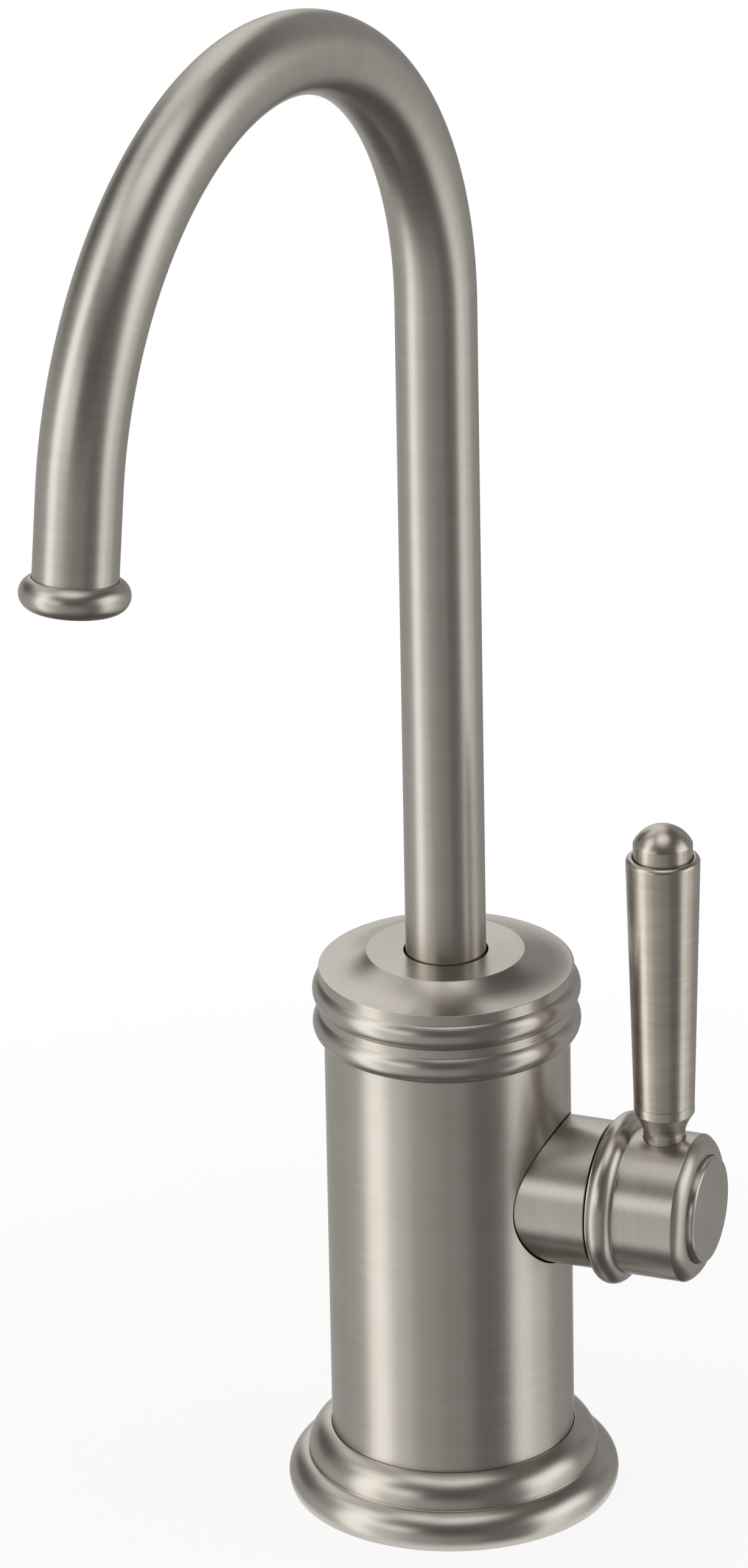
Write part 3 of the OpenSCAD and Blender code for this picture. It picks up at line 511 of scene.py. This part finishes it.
# The grip is a slender turned taper that widens upward to a rounded rim, with a pocket in its
# top. A rod through it ties it to the foot and the hub.
grip = Turning(3.1, 22.3).to(6.05, 22.3).to(7.35, 74.2).round(6.35, 74.2, 90, 12)
grip.to(6.1, 75.2).to(6.1, 74).to(3.1, 74)
finish_piece(
    "lever_grip", grip.spin(0.1), lever_nickel, "handle", ["lever_sleeve"],
    place=on_lever,
)

# The button is screwed on the rod's end and stands in that pocket: a short wall under a dome,
# turned and plated as the grip is.
button = Turning(3.1, 74).to(5.9, 74).to(5.9, 78.095).round(0, 75.25, 64.26, 24)
button.to(0, 77.5).to(3.1, 77.5)
finish_piece(
    "lever_button", button.spin(0.3), lever_nickel, "handle",
    ["lever_finial"], place=on_lever,
)

# The spout is one length of drawn brass tube, plated: a straight riser, one bend and a short
# straight end. It is brushed across its length all the way, and its foot is fixed on a turned
# stem in the cap.
heading = Matrix.Rotation(radians(-97), 4, "Z")
along_heading = heading @ Vector((1000, 0, 0))
bore_radius, tube_radius, around = 0.0068, 0.008, 128
foot_height, bend_height, bend_radius, end_length = 0.1005, 0.2535, 0.0693, 0.0207
bend_turn, bend_steps = radians(171.6), 150
end_lean = pi - bend_turn
spout_nickel = turned_metal("spout_nickel", NICKEL, along="run", rough=0.34)
spout = bmesh.new()
run = spout.verts.layers.float.new("run")
wall = [spout.verts.new((radius, 0, foot_height)) for radius in (bore_radius, tube_radius)]
bmesh.ops.spin(
    spout,
    geom=[*wall, spout.edges.new(wall)],
    cent=(0, 0, 0),
    axis=(0, 0, 1),
    angle=2 * pi,
    steps=around,
    use_merge=True,
)


def draw_out(ring, way):
    """Draws the ring of the tube's wall out along a way, and gives the ring at its new end."""
    drawn = bmesh.ops.extrude_face_region(spout, geom=ring)["geom"]
    corners = [g for g in drawn if isinstance(g, bmesh.types.BMVert)]
    bmesh.ops.translate(spout, verts=corners, vec=way)
    return [g for g in drawn if isinstance(g, bmesh.types.BMFace)]


riser_end = draw_out(spout.faces[:], (0, 0, bend_height - foot_height))
bend = bmesh.ops.spin(
    spout,
    geom=riser_end,
    cent=(bend_radius, 0, bend_height),
    axis=(0, 1, 0),
    angle=bend_turn,
    steps=bend_steps,
)["geom_last"]
bend_end = [g for g in bend if isinstance(g, bmesh.types.BMFace)]
draw_out(bend_end, (end_length * sin(end_lean), 0, -end_length * cos(end_lean)))
# The two rings that the wall was drawn on from are left inside it, and come out.
bmesh.ops.delete(spout, geom=riser_end + bend_end, context="FACES_ONLY")
bmesh.ops.recalc_face_normals(spout, faces=spout.faces[:])
for point in spout.verts:
    x, z = point.co.x - bend_radius, point.co.z - bend_height
    if z < 0 and x < 0:
        point[run] = z
    else:
        point[run] = bend_radius * (pi - atan2(max(z, 0), x)) + max(-z, 0)
finish_piece(
    "gooseneck", spout, spout_nickel, "spout", ["spout_tube"],
    place=heading, centre=along_heading,
)

# A turned and plated collar with one full bead is pressed on the tube's end. Its lip holds the
# aerator.
at_outlet = (
    heading
    @ Matrix.Translation((bend_radius, 0, bend_height))
    @ Matrix.Rotation(radians(90), 4, "X")
    @ Matrix.Rotation(end_lean, 4, "Z")
    @ Matrix.Translation((bend_radius, 0, 0))
    @ Matrix.Rotation(radians(-90), 4, "X")
)
collar = Turning(8.1, -20.7).to(8.1, -16.071).round(7.25, -19, -145.78, 40)
collar.to(5.7, -21.9).to(5.7, -20.7)
finish_piece(
    "collar", collar.spin(0.1), spout_nickel, "spout", ["outlet_collar"],
    place=at_outlet, centre=along_heading,
)


# Inside the outlet stands the aerator: a sleeve moulded in white acetal on the collar's lip,
# with a ledge for the flow disc, and a rubber washer on top.
def moulded(name, dark, pale_with_painted_shade, rough, grain=1500, dent=0.1, coat=0.0):
    """A moulded or fired material: a slight mottle in its colour and a fine skin."""
    skin = Shading(bpy.data.materials.new(name))
    spot = skin.node("TexCoord", {}, out="Object")
    mottle = skin.node("TexNoise", {"Vector": spot, "Scale": 180.0, "Detail": 3.0})
    pores = skin.node("TexNoise", {"Vector": spot, "Scale": float(grain), "Detail": 2.0})
    return skin.end(
        "Material",
        skin.node(
            "BsdfPrincipled",
            {
                "Base Color": skin.blend(skin.step(mottle, 0.35, 0.65), dark, pale_with_painted_shade),
                "Roughness": rough - 0.05 + pores * 0.1,
                "Coat Weight": coat,
                "Normal": skin.node(
                    "Bump", {"Height": pores, "Strength": dent, "Distance": 0.00005}
                ),
            },
        ),
    )


acetal = moulded("white_acetal", (0.80, 0.79, 0.75), (0.87, 0.86, 0.83), 0.42)
sleeve = Turning(5.2, -20.7).to(6.7, -20.7).to(6.7, -11.7).to(5.7, -11.7).to(5.7, -17.7)
sleeve.to(5.2, -17.7)
finish_piece(
    "aerator_sleeve", sleeve.spin(0.12, 96), acetal, "spout",
    ["aerator_housing"], place=at_outlet,
)
rubber = moulded("black_rubber", (0.018, 0.018, 0.018), (0.03, 0.03, 0.029), 0.62, 2500, 0.3)
washer = Turning(5.2, -11.7).to(6.7, -11.7).to(6.7, -10.2).to(5.2, -10.2)
finish_piece(
    "aerator_seal", washer.spin(0.3, 96), rubber, "spout", ["aerator_washer"],
    place=at_outlet,
)

# The flow disc is moulded in blue acetal, with a middle hole and two rings of small holes that
# part the water. It lies on the sleeve's ledge.
blue_acetal = moulded("blue_acetal", (0.10, 0.20, 0.31), (0.14, 0.25, 0.37), 0.4)
plate_radius, hole_radius = 5.6, 0.55
blank = Turning(0, -17.7).to(plate_radius, -17.7).to(plate_radius, -15.7).to(0, -15.7)
pins = bmesh.new()
for reach, count in ((0, 1), (0.36 * plate_radius, 6), (0.74 * plate_radius, 12)):
    for k in range(count):
        turn = 2 * pi * k / count
        middle = (reach * cos(turn) / 1000, reach * sin(turn) / 1000, -0.0167)
        bmesh.ops.create_cone(
            pins,
            cap_ends=True,
            segments=32,
            radius1=hole_radius / 1000,
            radius2=hole_radius / 1000,
            depth=0.004,
            matrix=at_outlet @ Matrix.Translation(middle),
        )
finish_piece(
    "flow_plate", blank.spin(0.15, 96), blue_acetal, "spout", ["flow_disc"],
    place=at_outlet, drill=pins,
)

# Over it lies the screen, woven from stainless wire and held in a pressed rim. The wires pass
# over and under each other in turn.
steel_tones = ((0.50, 0.50, 0.49), (0.62, 0.62, 0.61))
steel = turned_metal("stainless", steel_tones, rough=0.3, brushed=0.5)
rim_ring = Turning(5.2, -15.7).to(5.6, -15.7).to(5.6, -15.2).to(5.2, -15.2).spin(0.1, 96)
finish_piece(
    "screen_rim", rim_ring, steel, "spout", ["aerator_screen"], place=at_outlet
)
screen_radius, screen_height, wire_gap, wire_sway, half_steps = 5.35, -15.45, 0.55, 0.09, 24
weave = bpy.data.curves.new("screen_weave", "CURVE")
weave.dimensions = "3D"
weave.bevel_depth, weave.bevel_resolution = 0.00009, 2
for k in range(-9, 10):
    across_at = k * wire_gap
    half = (screen_radius**2 - across_at**2) ** 0.5
    for turned in (False, True):
        wire = weave.splines.new("POLY")
        wire.points.add(2 * half_steps)
        for i, point in enumerate(wire.points):
            run_at = half * (i / half_steps - 1)
            sway = wire_sway * cos(pi * (run_at / wire_gap + k + turned))
            x, y = (across_at, run_at) if turned else (run_at, across_at)
            at = Vector((x / 1000, y / 1000, (sway + screen_height) / 1000))
            point.co = (*(at_outlet @ at), 1)
weave.materials.append(steel)
screen = bpy.data.objects.new("screen_weave", weave)
bpy.context.scene.collection.objects.link(screen)
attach(screen, "spout")

# The spout's foot is turned brass with two rubber rings, and it turns between slippery acetal
# washers under a brass nut. None of it shows from outside, and its CAD shapes are kept.
BRASS = ((0.60, 0.43, 0.19), (0.72, 0.54, 0.26))


def dress(material, *nodes):
    """Gives kept CAD pieces their material."""
    for node in nodes:
        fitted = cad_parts[node].data.materials
        fitted.clear()
        fitted.append(material)


brass = turned_metal("turned_brass", BRASS, rough=0.32, brushed=0.6)
dress(brass, "spout_stem", "spout_nut")
dress(rubber, "stem_rings")
dress(acetal, "lower_bearing", "upper_bearing")

# The valve body is cast brass, left rough where no tool has run. It fills the column, and boss,
# shank and tubes are fixed in it.
casting = Shading(bpy.data.materials.new("cast_brass"))
spot = casting.node("TexCoord", {}, out="Object")
sand = casting.node("TexNoise", {"Vector": spot, "Scale": 900.0, "Detail": 5.0})
clouds = casting.node("TexNoise", {"Vector": spot, "Scale": 90.0, "Detail": 3.0})
patch = casting.step(clouds, 0.3, 0.7)
casting.end(
    "Material",
    casting.node(
        "BsdfPrincipled",
        {
            "Base Color": casting.blend(patch, (0.48, 0.33, 0.14), (0.66, 0.48, 0.22)),
            "Metallic": 1.0,
            "Roughness": 0.42 + patch * 0.14,
            "Normal": casting.node("Bump", {"Height": sand, "Strength": 0.5, "Distance": 0.0001}),
        },
    ),
)
dress(casting.owner, "valve_body")

# The cartridge lies across it: a rubber seat, two lapped ceramic discs, a steel stem in a brass
# shell, and the nut that clamps them. The screw under the face disc holds the hub on the stem,
# and the steel rod holds the lever.
cross_brass = turned_metal("cross_brass", BRASS, on_axis, turned_on="X", rough=0.32, brushed=0.6)
cross_steel = turned_metal("cross_steel", steel_tones, on_axis, turned_on="X")
lapped = moulded("lapped_ceramic", (0.84, 0.83, 0.79), (0.90, 0.89, 0.86), 0.2, 4000, 0.03, 0.4)
dress(rubber, "seat_seal", "cartridge_ring")
dress(lapped, "fixed_disc", "moving_disc")
dress(cross_brass, "cartridge_housing", "bonnet_nut")
dress(cross_steel, "cartridge_stem", "hub_screw")
lever_steel = turned_metal("lever_steel", steel_tones, (lever_reach, 0, 0))
dress(lever_steel, "lever_rod")

# The gasket is moulded rubber. It lies flush in its groove under the flange and seals it to the
# deck.
gasket = Turning(22.1, 0).to(26.7, 0).to(26.7, 1.5).to(22.1, 1.5).spin(0.25)
finish_piece("gasket_ring", gasket, rubber, "base", ["deck_gasket"])

# The shank is turned from brass bar, with a plain shoulder under the deck and a thread below it,
# cut by a single point: a helix of ridges that run out at both ends. The ridge's profile and
# pitch are in millimetres.
core = Turning(10.2, 16).to(10.2, -60).to(12.1, -60).to(12.7, -59.4).to(12.7, -12)
core.to(14, -12).to(14, 0).to(12.2, 0).to(12.2, 16)
finish_piece("shank_core", core.spin(0.3), brass, "base", ["threaded_shank"])
pitch, turns, steps, thread_start = 1.8, 25, 72, -59
profile = ((12.6, 0), (13.38, 0.6), (13.48, 0.75), (13.38, 0.9), (12.6, 1.5), (12.6, pitch))
thread = bmesh.new()
corners = [thread.verts.new((r / 1000, 0, (z + thread_start) / 1000)) for r, z in profile]
ridge = [thread.edges.new(pair) for pair in zip(corners, corners[1:])]
bmesh.ops.spin(
    thread,
    geom=corners + ridge,
    cent=(0, 0, 0),
    axis=(0, 0, 1),
    dvec=(0, 0, pitch / steps / 1000),
    angle=2 * pi * turns,
    steps=turns * steps,
)
bmesh.ops.remove_doubles(thread, verts=thread.verts[:], dist=1e-6)
bmesh.ops.recalc_face_normals(thread, faces=thread.faces[:])
thread_low, thread_high, root_radius, run_out = -0.0592, -0.0128, 0.0124, 0.002
for point in thread.verts:
    radius = point.co.xy.length
    from_end = min(point.co.z - thread_low, thread_high - point.co.z)
    full = max(0.0, min(1.0, from_end / run_out))
    kept = root_radius + (radius - root_radius) * full
    point.co.x, point.co.y = point.co.x * kept / radius, point.co.y * kept / radius
finish_piece("shank_thread", thread, brass, "base", [])

# Two drawn copper tubes pass up through the shank, one for hot water and one for cold. Their
# free ends are cut square and deburred.
copper = turned_metal("copper", ((0.62, 0.30, 0.19), (0.76, 0.42, 0.29)), rough=0.34, brushed=0.4)
for name, node, side in (("hot_tube", "hot_inlet_tube", 1), ("cold_tube", "cold_inlet_tube", -1)):
    inlet = Turning(2.375, -78).to(3.175, -78).to(3.175, 16).to(2.975, 16).to(2.975, 24)
    inlet.to(2.375, 24)
    finish_piece(
        name, inlet.spin(0.2, 96), copper, "base", [node],
        place=Matrix.Translation((0, side * 0.0062, 0)),
    )

# Under the deck a rubber washer, a pressed zinc-plated steel washer and a brass hexagon nut
# clamp the faucet. The nut keeps its CAD shape, with both faces chamfered.
soft_washer = Turning(14.1, -38.5).to(23, -38.5).to(23, -36).to(14.1, -36).spin(0.5)
finish_piece("soft_washer", soft_washer, rubber, "deck_nut", ["rubber_washer"])
zinc = turned_metal("zinc_steel", ((0.50, 0.51, 0.50), (0.66, 0.67, 0.66)), rough=0.38, brushed=0.3)
hard_washer = Turning(14.1, -40.5).to(23, -40.5).to(23, -38.5).to(14.1, -38.5).spin(0.35)
finish_piece("hard_washer", hard_washer, zinc, "deck_nut", ["metal_washer"])
dress(brass, "mounting_nut")
